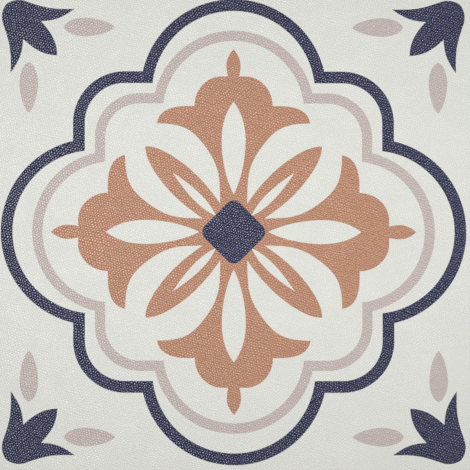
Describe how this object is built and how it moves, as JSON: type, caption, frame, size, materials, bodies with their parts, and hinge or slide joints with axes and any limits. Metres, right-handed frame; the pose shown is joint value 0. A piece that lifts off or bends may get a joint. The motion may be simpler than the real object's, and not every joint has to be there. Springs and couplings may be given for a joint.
{
  "type": "vinyl floor tile",
  "caption": "Square printed vinyl floor tile with a pebble-embossed satin face, a rolled rim and a flat back to glue down.",
  "frame": {"origin": "centre of the flat back face", "axes": "+Z out of the printed face; X and Y along the tile's sides"},
  "size_m": [0.3048, 0.3048, 0.0015],
  "materials": {
    "printed_vinyl": "satin wear layer with a fine pebble emboss over an off-white ground printed in navy, terracotta and pale mauve"
  },
  "bodies": {
    "root": {"vinyl_tile": "printed_vinyl"}
  },
  "joints": []
}
